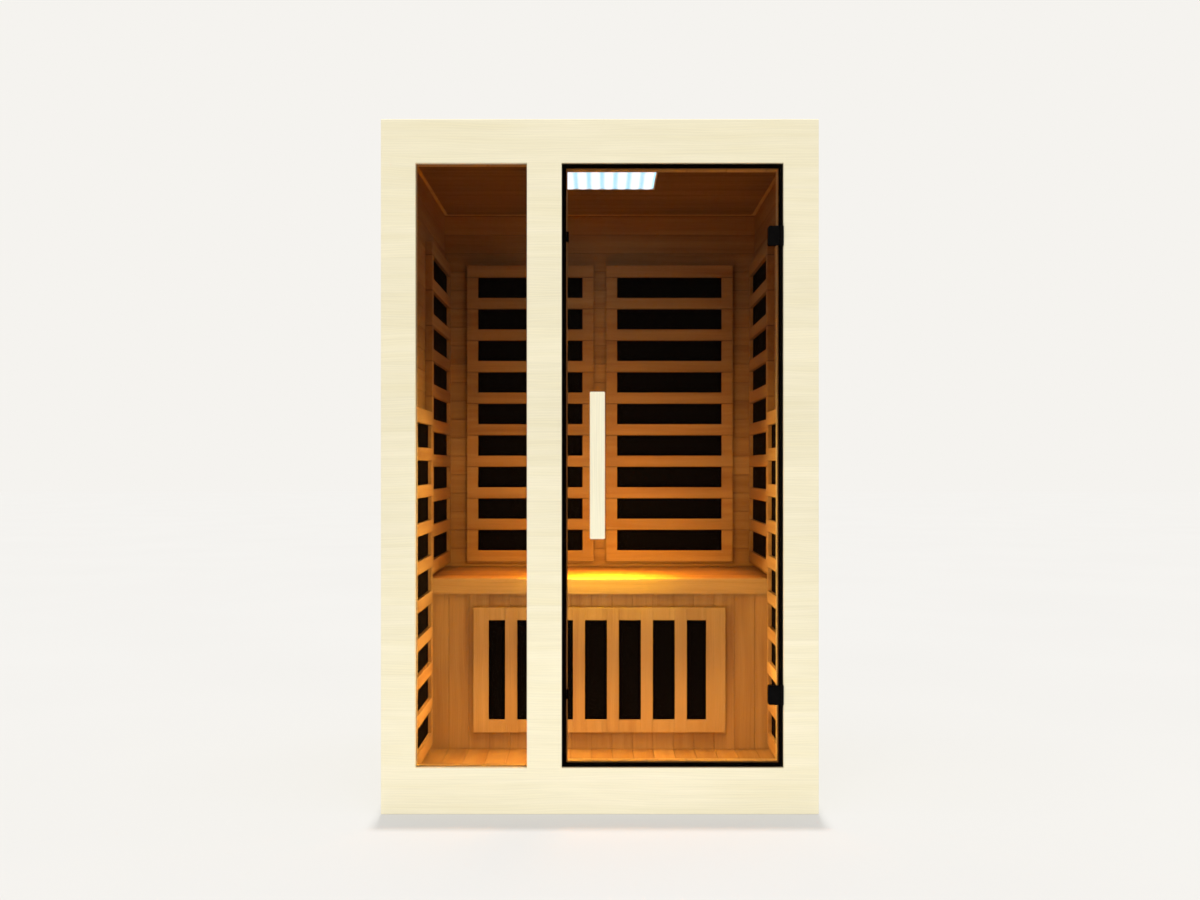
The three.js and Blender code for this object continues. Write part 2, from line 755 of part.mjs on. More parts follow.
// The guard under the bench has upright slats that stand proud of its rails.
function kickSlots() {
  const slots = [];
  const reach = (KICK_GUARD.slotCount - 1) / 2;
  for (let step = reach; step >= -reach; step -= 1) {
    const middle = KICK_GUARD.middleSlot + step * KICK_GUARD.slotPitch;
    const left = Math.max(middle - KICK_GUARD.slotWidth / 2, KICK_GUARD.left + KICK_GUARD.leftStile);
    const right = Math.min(middle + KICK_GUARD.slotWidth / 2, KICK_GUARD.right - KICK_GUARD.rightStile);
    slots.push([left, right]);
  }
  return slots;
}

function addBenchHeater() {
  const { left, right, rail, lip, slat, slatProud } = KICK_GUARD;
  const height = KICK_GUARD.slotHeight + 2 * rail;
  const back = KICK_GUARD.depth - FIT;
  const outline = [[left, 0], [left, back], [right, back], [right, 0]];
  const cutters = [];
  for (const [from, to] of kickSlots()) {
    outline.push([to, 0], [to, slatProud], [from, slatProud], [from, 0]);
    cutters.push(block(from, to, -PAST, back + PAST, rail, height - rail));
  }
  cutters.push(block(left + lip, right - lip, slat, back + PAST, lip, height - lip));
  const station = new THREE.Group();
  station.position.set(0, BENCH.kick - KICK_GUARD.depth, KICK_GUARD.bottom);
  cabin.add(station);
  const panel = heaterPanel(left + lip, right - lip, lip, height - lip, slat, KICK_GUARD.depth);
  add("bench_heater", "heaterFace", panel, station);
  add("bench_guard", "warmWood", cut(prism("z", outline, 0, height), ...cutters), station);
}

// Bench: seat boards and fascia on cleats, over a kick panel

function addBench() {
  const edge = innerX - FIT;
  const back = innerBack - FIT;
  const seatBottom = BENCH.top - BENCH.seat;
  const seatFront = BENCH.front + BENCH.fascia + FIT;
  add("bench_seat", "warmWood", lyingBoards("x", -edge, edge, [seatFront, back], seatBottom, BENCH.top));

  const { front, nosing, top } = BENCH;
  const fasciaBack = front + BENCH.fascia;
  const fascia = new THREE.Shape();
  fascia.moveTo(fasciaBack, top);
  fascia.lineTo(front + nosing, top);
  fascia.quadraticCurveTo(front, top, front, top - nosing);
  fascia.lineTo(front, top - BENCH.fasciaHeight);
  fascia.lineTo(fasciaBack, top - BENCH.fasciaHeight);
  fascia.closePath();
  add("bench_fascia", "warmWood", prism("x", fascia, -edge, edge));

  const kickBack = BENCH.kick + BOARD.thickness;
  const kickTop = seatBottom - FIT;
  const kick = lyingBoards("z", FLOOR.top + FIT, kickTop, [-edge, edge], kickBack, BENCH.kick);
  add("bench_kick_panel", "warmWood", kick);

  const low = kickTop - CLEAT.height;
  const backCleatFront = back - CLEAT.depth;
  const sideFront = kickBack + FIT;
  const sideBack = backCleatFront - FIT;
  const inset = edge - CLEAT.sideInset;
  const halfBearer = CLEAT.bearer / 2;
  add("bench_back_cleat", "plainWood", block(-edge, edge, backCleatFront, back, low, kickTop));
  add("bench_left_cleat", "plainWood", block(-edge, -inset, sideFront, sideBack, low, kickTop));
  add("bench_right_cleat", "plainWood", block(inset, edge, sideFront, sideBack, low, kickTop));
  add("bench_bearer", "plainWood", block(-halfBearer, halfBearer, sideFront, sideBack, low, kickTop));
}

// Ceiling light: a tray let into the ceiling and a fluted diffuser seated on its flange

function addLight() {
  const middleX = LIGHT.x;
  const middleY = LIGHT.front + LIGHT.length / 2;
  const halfX = LIGHT.width / 2;
  const halfY = LIGHT.length / 2;
  const flangeTop = ROOF.ceiling - FIT;
  const flangeBottom = flangeTop - LIGHT.flange;
  const trayTop = flangeTop + LIGHT.height;
  const inset = (by, z0, z1) => {
    const reachX = halfX - by;
    const reachY = halfY - by;
    return block(middleX - reachX, middleX + reachX, middleY - reachY, middleY + reachY, z0, z1);
  };
  const flange = inset(0, flangeBottom, flangeTop);
  const hollowInset = LIGHT.overhang + LIGHT.wall;
  const tray = inset(LIGHT.overhang, flangeTop - OVERLAP, trayTop);
  const hollow = inset(hollowInset, flangeTop, trayTop - LIGHT.wall);
  const mouth = inset(LIGHT.rim, flangeBottom - PAST, flangeTop + OVERLAP);
  add("light_housing", "whitePlastic", cut(join(flange, tray), hollow, mouth));

  const plateX = halfX - hollowInset - FIT;
  const fluteX = halfX - LIGHT.rim - FIT;
  const plateBottom = flangeTop + FIT;
  const plateTop = plateBottom + LIGHT.plate;
  const valley = flangeBottom + LIGHT.bulge;
  const profile = [[fluteX, plateBottom], [plateX, plateBottom], [plateX, plateTop]];
  profile.push([-plateX, plateTop], [-plateX, plateBottom], [-fluteX, plateBottom]);
  const steps = LIGHT.flutes * LIGHT.fluteSteps;
  for (let step = 0; step <= steps; step += 1) {
    const swell = Math.abs(Math.sin((Math.PI * step) / LIGHT.fluteSteps));
    profile.push([-fluteX + (2 * fluteX * step) / steps, valley - LIGHT.bulge * swell]);
  }
  const reach = halfY - LIGHT.rim - FIT;
  const diffuser = prism("y", profile, middleY - reach, middleY + reach).translate(middleX, 0, 0);
  add("light_diffuser", "diffuser", diffuser);
}

// Control panel on the inside of the mullion, with flat keys under one membrane

function addControlPanel() {
  const wallFace = FRONT.thickness + FIT;
  const face = wallFace + PANEL.depth;
  const left = PANEL.x - PANEL.width / 2;
  const top = PANEL.bottom + PANEL.height;
  const outline = roundedRectangle(left, left + PANEL.width, PANEL.bottom, top, PANEL.corner);
  const housing = prism("y", outline, wallFace, face, { ease: PANEL.ease });
  const displayTop = top - DISPLAY.fromTop;
  const halfDisplay = DISPLAY.width / 2;
  const display = block(
    PANEL.x - halfDisplay,
    PANEL.x + halfDisplay,
    face - DISPLAY.recess,
    face + PAST,
    displayTop - DISPLAY.height,
    displayTop,
  );
  const keys = [];
  for (let row = 0; row < KEY.rows; row += 1) {
    for (let column = 0; column < KEY.columns; column += 1) {
      const x = PANEL.x + (column - (KEY.columns - 1) / 2) * (KEY.width + KEY.gap) - KEY.width / 2;
      const z = PANEL.bottom + KEY.fromBottom + row * (KEY.height + KEY.gap);
      const key = roundedRectangle(x, x + KEY.width, z, z + KEY.height, KEY.corner);
      keys.push(prism("y", key, face - OVERLAP, face + KEY.proud));
    }
  }
  add("control_panel", "blackPlastic", join(cut(housing, display), ...keys));
}

addFloor();
addSideWall("left", -1);
addSideWall("right", 1);
addBackWall();
addRoof();
addPower();
addFront();
addWindow();
addGasket();
addDoorGlass();
addHandles();
addCatches();
addHinges();
addWallHeaters();
addBenchHeater();
addBench();
addLight();
addControlPanel();

export default cabin;
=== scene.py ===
import math

import bmesh
import bpy
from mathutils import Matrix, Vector


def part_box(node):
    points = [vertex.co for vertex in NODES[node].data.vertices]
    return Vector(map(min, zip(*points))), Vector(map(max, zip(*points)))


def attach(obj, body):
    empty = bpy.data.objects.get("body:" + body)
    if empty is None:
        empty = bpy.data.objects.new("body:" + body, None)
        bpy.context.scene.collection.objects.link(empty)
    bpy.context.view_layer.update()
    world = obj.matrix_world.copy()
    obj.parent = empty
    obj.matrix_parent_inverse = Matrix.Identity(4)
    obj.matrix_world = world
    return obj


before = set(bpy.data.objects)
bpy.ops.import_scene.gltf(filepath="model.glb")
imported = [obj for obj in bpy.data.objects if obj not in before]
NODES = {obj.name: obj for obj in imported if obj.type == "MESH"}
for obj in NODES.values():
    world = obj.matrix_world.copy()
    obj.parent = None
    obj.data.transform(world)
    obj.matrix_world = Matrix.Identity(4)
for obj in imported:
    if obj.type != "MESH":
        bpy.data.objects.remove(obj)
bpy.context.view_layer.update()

AXIS = {"x": 0, "y": 1, "z": 2}
STUDIO_TONE = (245, 243, 239)


# Material helpers

def linear(red, green, blue):
    """Linear colour from an 8 bit display colour."""
    def channel(value):
        value /= 255.0
        return value / 12.92 if value <= 0.04045 else ((value + 0.055) / 1.055) ** 2.4
    return (channel(red), channel(green), channel(blue), 1.0)


class Shader:
    """A material's node tree, with short ways to add and wire nodes."""

    # A colour Mix node has several sockets of the same name, so these go by number
    MIX_FIRST, MIX_SECOND, MIX_RESULT = 6, 7, 2

    def __init__(self, name):
        self.material = bpy.data.materials.new(name)
        self.material.use_nodes = True
        self.tree = self.material.node_tree
        self.tree.nodes.clear()
        self.output = self.tree.nodes.new("ShaderNodeOutputMaterial")

    def node(self, kind, inputs=None, **settings):
        made = self.tree.nodes.new("ShaderNode" + kind)
        for key, value in settings.items():
            setattr(made, key, value)
        for key, value in (inputs or {}).items():
            self.feed(made.inputs[key], value)
        return made

    def feed(self, socket, value):
        if isinstance(value, bpy.types.NodeSocket):
            self.tree.links.new(value, socket)
        else:
            socket.default_value = value

    def math(self, operation, *values):
        made = self.node("Math", operation=operation)
        for socket, value in zip(made.inputs, values):
            self.feed(socket, value)
        return made.outputs[0]

    def place(self):
        return self.node("TexCoord").outputs["Object"]

    def split(self, vector):
        return self.node("SeparateXYZ", {"Vector": vector}).outputs

    def vector(self, x, y, z):
        return self.node("CombineXYZ", {"X": x, "Y": y, "Z": z}).outputs[0]

    def noise(self, vector, scale, detail=3.0, roughness=0.5):
        inputs = {"Vector": vector, "Scale": scale, "Detail": detail, "Roughness": roughness}
        return self.node("TexNoise", inputs).outputs["Fac"]

    def span(self, value, low, high, to_low=0.0, to_high=1.0):
        inputs = {
            "Value": value,
            "From Min": low,
            "From Max": high,
            "To Min": to_low,
            "To Max": to_high,
        }
        return self.node("MapRange", inputs).outputs[0]

    def mix(self, factor, first, second, blend="MIX"):
        made = self.node("Mix", data_type="RGBA", blend_type=blend)
        self.feed(made.inputs["Factor"], factor)
        self.feed(made.inputs[self.MIX_FIRST], first)
        self.feed(made.inputs[self.MIX_SECOND], second)
        return made.outputs[self.MIX_RESULT]

    def scaled(self, colour, factor):
        """A colour with all its channels multiplied by one value."""
        return self.mix(1.0, colour, self.vector(factor, factor, factor), "MULTIPLY")

    def bump(self, height, strength, distance):
        inputs = {"Height": height, "Strength": strength, "Distance": distance}
        return self.node("Bump", inputs).outputs[0]

    def surface(self, colour, roughness, normal=None, **sockets):
        inputs = {"Base Color": colour, "Roughness": roughness}
        inputs.update({key.replace("_", " "): value for key, value in sockets.items()})
        made = self.node("BsdfPrincipled", inputs)
        if normal is not None:
            self.feed(made.inputs["Normal"], normal)
        self.tree.links.new(made.outputs[0], self.output.inputs["Surface"])
        return self.material


def dress(material, *names):
    for name in names:
        slots = NODES[name].data.materials
        slots.clear()
        slots.append(material)


# Timber

# Noise scales along, across and through a board, then the detail
STREAKS = (1.1, 46.0, 46.0, 4.0)
FIBRES = (9.0, 620.0, 620.0, 2.0)
BANDS = (2.2, 7.0, 7.0, 2.0)
RING_DRIFT = (1.6, 14.0, 14.0, 1.0)
GRAIN_ROUGHNESS = 0.55

RING_DENSITY = 900.0
RING_DRIFT_REACH = 14.0
BOARD_SHIFT = 9.7           # how far the grain jumps from one board to the next
SWAY_SCALE, SWAY_REACH = 2.4, 0.03
NOISE_LOW, NOISE_HIGH = 0.3, 0.7
JOINT_EDGE, JOINT_END = 0.0006, 0.0022
GRAIN_DEPTH = 0.0006

# Board widths in metres
BOARD_PITCH = 0.066
FRONT_PITCH = 0.0953
UPRIGHT_PITCH = 0.11
GUARD_PITCH = 0.1125
GUARD_FIRST_JOINT = 0.1160
KICK_GUARD_PITCH = 0.1092
SHEET_PITCH = 0.61
# Single planks: wider than the piece, so no joint falls on it
HANDLE_PITCH = 0.2
FASCIA_PITCH = 0.2
ROUGH_PITCH = 0.3

# Tones of the figure, dark to light
FRONT = (linear(240, 231, 197), linear(244, 236, 206), linear(249, 241, 214))
PALE = (linear(237, 227, 190), linear(244, 236, 205), linear(250, 243, 217))
GRIP = (linear(246, 238, 206), linear(250, 243, 214), linear(253, 247, 222))
PLY = (linear(198, 176, 132), linear(212, 192, 150), linear(222, 206, 168))
# SHADED is the lining wood darkened: painted shade for the ceiling
SHADED = (linear(114, 92, 64), linear(132, 112, 83), linear(146, 128, 100))
WARM = (linear(165, 123, 73), linear(184, 148, 98), linear(199, 166, 116))
TAN = (linear(184, 154, 105), linear(201, 175, 127), linear(211, 190, 145))
BENCH = (linear(175, 139, 89), linear(193, 163, 114), linear(206, 179, 132))
PLAIN = (linear(186, 156, 104), linear(212, 186, 136), linear(226, 204, 160))


def timber(name, along, across, pitch, start, tones, spread=0.1, grain=1.0, gloss=0.5, joint=0.3):
    """Planed boards with the grain along one axis, set side by side along another.

    The name seeds the boards' own tones: spread is how far these differ, grain how
    strong the figure is, gloss the lowest roughness and joint how dark the joints are.
    """
    dark, middle, light = tones
    seed = sum(ord(letter) for letter in name)
    shader = Shader(name)
    parts = shader.split(shader.place())
    run = parts[AXIS[along]]
    step = parts[AXIS[across]]
    other = parts[3 - AXIS[along] - AXIS[across]]
    count = shader.math("DIVIDE", shader.math("SUBTRACT", step, start), pitch)
    board = shader.math("ADD", shader.math("FLOOR", count), float(seed))
    luck = shader.node("TexWhiteNoise", {"W": board}, noise_dimensions="1D").outputs["Value"]
    moved = shader.math("ADD", run, shader.math("MULTIPLY", luck, BOARD_SHIFT))
    sway = shader.noise(shader.vector(moved, step, other), SWAY_SCALE, 1.0)
    bent = shader.math("ADD", step, shader.math("MULTIPLY", sway, SWAY_REACH))

    def grain_noise(lengthwise, crosswise, depthwise, detail):
        place = shader.vector(
            shader.math("MULTIPLY", moved, lengthwise),
            shader.math("MULTIPLY", bent, crosswise),
            shader.math("MULTIPLY", other, depthwise),
        )
        return shader.noise(place, 1.0, detail, GRAIN_ROUGHNESS)

    def blend(first, first_share, second, second_share):
        return shader.math(
            "ADD",
            shader.math("MULTIPLY", first, first_share),
            shader.math("MULTIPLY", second, second_share),
        )

    streaks = grain_noise(*STREAKS)
    fibres = grain_noise(*FIBRES)
    bands = grain_noise(*BANDS)
    drift = shader.math("MULTIPLY", grain_noise(*RING_DRIFT), RING_DRIFT_REACH)
    turns = shader.math("ADD", shader.math("MULTIPLY", bent, RING_DENSITY), drift)
    rings = shader.math("SINE", turns)

    figure = blend(
        shader.span(streaks, NOISE_LOW, NOISE_HIGH), 0.55,
        shader.span(bands, NOISE_LOW, NOISE_HIGH), 0.45,
    )
    ramp = shader.node("ValToRGB", {0: figure})
    ramp.color_ramp.elements[0].color = dark
    ramp.color_ramp.elements[1].color = light
    ramp.color_ramp.elements.new(0.5).color = middle

    nearest = shader.math("MULTIPLY", shader.math("PINGPONG", count, 0.5), pitch)
    shades = [
        shader.span(luck, 0.0, 1.0, 1.0 - spread, 1.0 + 0.4 * spread),
        shader.span(fibres, 0.25, 0.75, 1.0 - 0.12 * grain, 1.0 + 0.05 * grain),
        shader.span(rings, -0.2, 1.0, 1.0, 1.0 - 0.05 * grain),
        shader.span(nearest, JOINT_EDGE, JOINT_END, 1.0 - joint, 1.0),
    ]
    shade = shades[0]
    for factor in shades[1:]:
        shade = shader.math("MULTIPLY", shade, factor)

    relief = blend(streaks, 0.6, fibres, 0.4)
    normal = shader.bump(relief, 0.25 * grain, GRAIN_DEPTH)
    rough = shader.span(fibres, 0.2, 0.8, gloss, gloss + 0.16)
    return shader.surface(shader.scaled(ramp.outputs[0], shade), rough, normal)


def panel(nodes, *boards, **finish):
    """Dress the nodes in one timber of their own."""
    dress(timber(*boards, **finish), *nodes)


def dress_outside():
    panel(
        ["front_facing"], "pale_front_boards", "x", "z", FRONT_PITCH, 0.0, FRONT,
        spread=0.025, grain=0.5, gloss=0.52, joint=0.03,
    )
    panel(
        ["front_frame", "window_bead"], "pale_upright", "z", "x", UPRIGHT_PITCH, 0.02, PALE,
        spread=0.05, grain=0.7,
    )
    panel(
        ["outer_handle", "inner_handle"], "pale_handle", "z", "x", HANDLE_PITCH, -0.1, GRIP,
        spread=0.02, grain=0.7, gloss=0.42,
    )
    sides = ["left_wall_cladding", "right_wall_cladding"]
    panel(sides, "pale_side", "y", "z", BOARD_PITCH, 0.0, PALE, spread=0.06)
    panel(["back_wall_cladding"], "pale_back", "x", "z", BOARD_PITCH, 0.0, PALE, spread=0.06)
    panel(
        ["roof_cover"], "roof_ply", "x", "y", SHEET_PITCH, -0.7, PLY,
        spread=0.04, gloss=0.6,
    )


def dress_inside():
    sides = ["left_wall_lining", "right_wall_lining"]
    panel(sides, "warm_side", "y", "z", BOARD_PITCH, 0.0, WARM, spread=0.16)
    panel(["back_wall_lining"], "warm_back", "x", "z", BOARD_PITCH, 0.0, WARM, spread=0.16)
    # The ceiling takes the darkened SHADED tone, which is painted shade
    ceiling_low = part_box("ceiling_lining")[0]
    panel(["ceiling_lining"], "warm_ceiling", "x", "y", BOARD_PITCH, ceiling_low.y, SHADED)
    deck_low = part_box("floor_deck")[0]
    panel(["floor_deck"], "warm_floor", "y", "x", BOARD_PITCH, deck_low.x, WARM, spread=0.16)
    seat_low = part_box("bench_seat")[0]
    panel(
        ["bench_seat"], "warm_seat", "x", "y", BOARD_PITCH, seat_low.y, WARM,
        spread=0.12, gloss=0.42,
    )
    panel(
        ["bench_fascia"], "warm_fascia", "x", "z", FASCIA_PITCH, 0.45, TAN,
        spread=0.04, gloss=0.42,
    )
    kick_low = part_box("bench_kick_panel")[0]
    panel(
        ["bench_kick_panel"], "warm_kick", "z", "x", BOARD_PITCH, kick_low.x, BENCH,
        spread=0.06, joint=0.15,
    )
    panel(
        ["bench_guard"], "warm_bench_guard", "z", "x", KICK_GUARD_PITCH, -0.1025, TAN,
        spread=0.06, joint=0.12,
    )
    guards = {
        "left_rear": "y",
        "right_rear": "y",
        "back_left": "x",
        "back_right": "x",
        "left_front": "y",
        "right_front": "y",
    }
    for side, along in guards.items():
        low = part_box(side + "_guard")[0]
        first = low.z + GUARD_FIRST_JOINT
        panel([side + "_guard"], "warm_" + side, along, "z", GUARD_PITCH, first, WARM, joint=0.55)


def dress_structure():
    battens = ["left_wall_battens", "right_wall_battens", "back_wall_battens"]
    supports = ["bench_back_cleat", "bench_left_cleat", "bench_right_cleat", "bench_bearer"]
    panel(
        ["floor_base", "roof_frame", *battens, *supports],
        "plain_timber", "x", "z", ROUGH_PITCH, 0.0, PLAIN,
        spread=0.05, grain=1.3, gloss=0.7,
    )


# Glass, heaters and fittings

def glazing():
    """Bronze float glass: tinted, with a mirror sheen that grows towards grazing views."""
    face_sheen, edge_sheen, rise = 0.0012, 0.7, 5.0
    shader = Shader("bronze_glass")
    place = shader.place()
    cloud = shader.noise(place, 3.0, 2.0)
    tint = shader.mix(cloud, (0.64, 0.515, 0.39, 1), (0.66, 0.53, 0.405, 1))
    facing = shader.node("LayerWeight", {"Blend": 0.5}).outputs["Facing"]
    grazing = shader.math("MULTIPLY", shader.math("POWER", facing, rise), edge_sheen)
    sheen = shader.math("ADD", grazing, face_sheen)
    smear = shader.noise(place, 14.0, 3.0)
    rough = shader.span(smear, NOISE_LOW, NOISE_HIGH, 0.01, 0.04)
    through = shader.node("BsdfTransparent", {"Color": tint})
    mirror = {"Color": (1.0, 0.97, 0.92, 1.0), "Roughness": rough}
    gloss = shader.node("BsdfAnisotropic", mirror)
    blend = shader.node("MixShader", {0: sheen, 1: through.outputs[0], 2: gloss.outputs[0]})
    shader.tree.links.new(blend.outputs[0], shader.output.inputs["Surface"])
    dress(shader.material, "door_glass", "window_glass")


def heater_face():
    """Matt black carbon laminate with a fine crossed weave."""
    thread = 2400.0
    low, high = (0.001, 0.0007, 0.0006, 1.0), (0.0022, 0.0016, 0.0013, 1.0)
    crossing = (0.0036, 0.0029, 0.0025, 1.0)
    shader = Shader("heater_face")
    parts = shader.split(shader.place())
    along = shader.math("ADD", parts[0], parts[1])
    warp = shader.math("SINE", shader.math("MULTIPLY", along, thread))
    weft = shader.math("SINE", shader.math("MULTIPLY", parts[2], thread))
    weave = shader.span(shader.math("MULTIPLY", warp, weft), -1.0, 1.0)
    cloud = shader.noise(shader.place(), 9.0, 4.0, 0.6)
    deep = shader.mix(cloud, low, high)
    colour = shader.mix(shader.math("MULTIPLY", weave, 0.5), deep, crossing)
    rough = shader.span(cloud, NOISE_LOW, NOISE_HIGH, 0.7, 0.85)
    normal = shader.bump(weave, 0.3, 0.0003)
    material = shader.surface(colour, rough, normal, Specular_IOR_Level=0.03)
    dress(material, *[name for name in NODES if name.endswith("_heater")])


def coating(name, colour, worn, roughness, grain, metal=0.0):
    """Coated or moulded surface with a fine orange-peel grain and lighter worn patches."""
    shader = Shader(name)
    place = shader.place()
    peel = shader.noise(place, grain, 2.0)
    wear = shader.noise(place, 38.0, 4.0, 0.65)
    tone = shader.mix(shader.span(wear, 0.45, 0.8), (*colour, 1), (*worn, 1))
    rough = shader.span(wear, NOISE_LOW, NOISE_HIGH, roughness - 0.06, roughness + 0.08)
    shine = 0.5 if metal else 0.03
    normal = shader.bump(peel, 0.12, 0.0002)
    return shader.surface(tone, rough, normal, Metallic=metal, Specular_IOR_Level=shine)


def dress_fittings():
    """Dress the small fittings; gives back the black metal for the screws."""
    metal = coating("black_metal", (0.0018, 0.0016, 0.0016), (0.004, 0.0037, 0.0035), 0.55, 900.0)
    ends = ("leaf", "pin", "clamp")
    hinges = [f"{place}_hinge_{end}" for place in ("upper", "lower") for end in ends]
    dress(metal, *hinges, "upper_strike_plate", "lower_strike_plate")
    rubber = coating("black_rubber", (0.0016, 0.0015, 0.0015), (0.003, 0.0028, 0.0028), 0.72, 500.0)
    dress(rubber, "door_gasket")
    plastic = coating("black_plastic", (0.012, 0.012, 0.013), (0.02, 0.02, 0.021), 0.5, 1400.0)
    catches = ("upper_magnet_catch", "lower_magnet_catch")
    dress(plastic, *catches, "control_panel", "mains_inlet", "power_box")
    steel = coating("plain_steel", (0.5, 0.5, 0.5), (0.6, 0.6, 0.6), 0.34, 700.0, metal=1.0)
    dress(steel, "upper_handle_bolt", "lower_handle_bolt")
    white = coating("white_plastic", (0.82, 0.86, 0.86), (0.88, 0.9, 0.9), 0.42, 800.0)
    dress(white, "light_housing")
    return metal


def lit_diffuser():
    """Opal flutes lit from behind: white crests and pale blue valleys."""
    flutes, brightness = 8.0, 8.0
    valley_glow, crest_glow = (0.105, 0.36, 0.8, 1), (0.297, 0.494, 1.0, 1)
    shader = Shader("lit_diffuser")
    low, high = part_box("light_diffuser")
    pitch = (high.x - low.x) / flutes
    parts = shader.split(shader.place())
    phase = shader.math("DIVIDE", shader.math("SUBTRACT", parts[0], low.x), pitch)
    swell = shader.math("ABSOLUTE", shader.math("SINE", shader.math("MULTIPLY", phase, math.pi)))
    crest = shader.span(swell, 0.25, 0.8)
    mottle = shader.span(shader.noise(shader.place(), 60.0, 2.0), NOISE_LOW, NOISE_HIGH, 0.96, 1.02)
    glow = shader.scaled(shader.mix(crest, valley_glow, crest_glow), mottle)
    light = {"Emission_Color": glow, "Emission_Strength": brightness}
    dress(shader.surface((0.7, 0.8, 0.82, 1), 0.3, **light), "light_diffuser")


def ease_edges():
    """Small rounded edges on timber and fittings, added on top of the unchanged solids."""
    sharp = ("glass", "heater", "diffuser", "battens")
    small = ("hinge", "catch", "strike", "bolt", "inlet")
    fine_edge, timber_edge = 0.0003, 0.0008
    for name, node in NODES.items():
        if any(word in name for word in sharp):
            continue
        weld = node.modifiers.new("weld", "WELD")
        weld.merge_threshold = 0.00002
        ease = node.modifiers.new("ease", "BEVEL")
        ease.width = fine_edge if any(word in name for word in small) else timber_edge
        ease.segments = 2
        ease.limit_method = "ANGLE"
        ease.angle_limit = math.radians(50)
        ease.use_clamp_overlap = True
        settle = node.modifiers.new("settle", "WEIGHTED_NORMAL")
        settle.keep_sharp = True


def add_object(name, data):
    made = bpy.data.objects.new(name, data)
    bpy.context.scene.collection.objects.link(made)
    return made


# Small fasteners

SCREW_SIDES = 20
SOCKET_SIDES = 6
SOCKET_REACH = 0.42
SOCKET_FLOOR = 0.35
SUNK = 0.0001               # how far a head's underside sits in the face below it
DOME = [(1.0, 0.0), (1.0, 0.35), (0.93, 0.72), (0.78, 0.94), (0.6, 1.0), (0.5, 1.0)]


def socket_reach(angle):
    """Distance from the centre to the side of the hexagon socket."""
    sector = math.pi / SOCKET_SIDES
    off = (angle + sector) % (2 * sector) - sector
    return SOCKET_REACH * math.cos(sector) / math.cos(off)


def screw_mesh(name, spots, axis, radius, height, metal):
    """Low domed heads with a hexagon socket, one at each spot, all facing along axis."""
    turn = Vector((0, 0, 1)).rotation_difference(Vector(axis)).to_matrix()
    angles = [2 * math.pi * side / SCREW_SIDES for side in range(SCREW_SIDES)]
    shape = bmesh.new()

    def loop(spot, reaches, rise):
        verts = []
        for angle, reach in zip(angles, reaches):
            x = radius * reach * math.cos(angle)
            y = radius * reach * math.sin(angle)
            point = Vector((x, y, height * rise))
            verts.append(shape.verts.new(Vector(spot) + turn @ point))
        return verts

    socket = [socket_reach(angle) for angle in angles]
    for spot in spots:
        loops = [loop(spot, [reach] * SCREW_SIDES, rise) for reach, rise in DOME]
        loops += [loop(spot, socket, rise) for rise in (1.0, SOCKET_FLOOR)]
        for lower, upper in zip(loops, loops[1:]):
            for side in range(SCREW_SIDES):
                after = (side + 1) % SCREW_SIDES
                shape.faces.new((lower[side], lower[after], upper[after], upper[side]))
        shape.faces.new(loops[-1])
        shape.faces.new(list(reversed(loops[0])))
    mesh = bpy.data.meshes.new(name)
    shape.normal_update()
    shape.to_mesh(mesh)
    shape.free()
    for face in mesh.polygons:
        face.use_smooth = True
    mesh.materials.append(metal)
    return add_object(name, mesh)


def add_screws(metal):
    from_knuckle, half_gap = 0.0115, 0.018
    for place in ("upper", "lower"):
        low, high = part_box(f"{place}_hinge_clamp")
        middle = (low.z + high.z) / 2
        x = low.x + from_knuckle
        back = [(x, high.y - SUNK, middle + step) for step in (-half_gap, half_gap)]
        piece = screw_mesh(f"{place}_hinge_screws", back, (0, 1, 0), 0.0036, 0.0014, metal)
        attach(piece, "door")

    low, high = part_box("roof_cover")
    inset, gaps = 0.022, 4
    spots = []
    for step in range(gaps + 1):
        y = low.y + inset + step * (high.y - low.y - 2 * inset) / gaps
        spots += [(x, y, high.z - SUNK) for x in (low.x + inset, high.x - inset)]
    piece = screw_mesh("roof_screws", spots, (0, 0, 1), 0.004, 0.0012, metal)
    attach(piece, "cabin")


# Stage, light and camera

FLOOR_HALF = 40.0
FLOOR_LEVEL = -0.0002

WHITE = (1.0, 0.99, 0.97)
COOL = (0.97, 0.98, 1.0)
DAY = (0.35, 1.0, 1.0)
CLEAR = (0.9, 1.0, 1.0)
AMBER = (1.0, 0.79, 0.36)
HONEY = (1.0, 0.93, 0.45)
STRAW = (0.95, 0.97, 0.08)
GOLD = (1.0, 0.6, 0.05)
EMBER = (1.0, 0.5, 0.1)


def add_floor():
    """Pale floor with a glow of its own, so that it meets the background without a line."""
    shader = Shader("studio_floor")
    mottle = shader.noise(shader.place(), 0.8, 2.0)
    tone = shader.mix(mottle, (0.331, 0.3305, 0.330, 1), (0.351, 0.3505, 0.350, 1))
    glow = {"Emission_Color": linear(*STUDIO_TONE), "Emission_Strength": 0.4}
    shader.surface(tone, 0.9, Specular_IOR_Level=0.0, **glow)
    shape = bmesh.new()
    corners = [(-1, -1), (1, -1), (1, 1), (-1, 1)]
    spots = [(x * FLOOR_HALF, y * FLOOR_HALF, FLOOR_LEVEL) for x, y in corners]
    shape.faces.new([shape.verts.new(spot) for spot in spots])
    mesh = bpy.data.meshes.new("studio_floor")
    shape.to_mesh(mesh)
    shape.free()
    mesh.materials.append(shader.material)
    floor = add_object("studio_floor", mesh)


def add_lamp(name, kind, place, target, colour, power, **settings):
    """A lamp at place, aimed at target, that no camera or mirror sees."""
    lamp = bpy.data.lights.new(name, kind)
    lamp.color = colour
    lamp.energy = power
    for key, value in settings.items():
        setattr(lamp, key, value)
    holder = add_object(name, lamp)
    holder.location = place
    aim = Vector(target) - Vector(place)
    holder.rotation_euler = aim.to_track_quat("-Z", "Y").to_euler()
    holder.visible_camera = False
    holder.visible_glossy = False


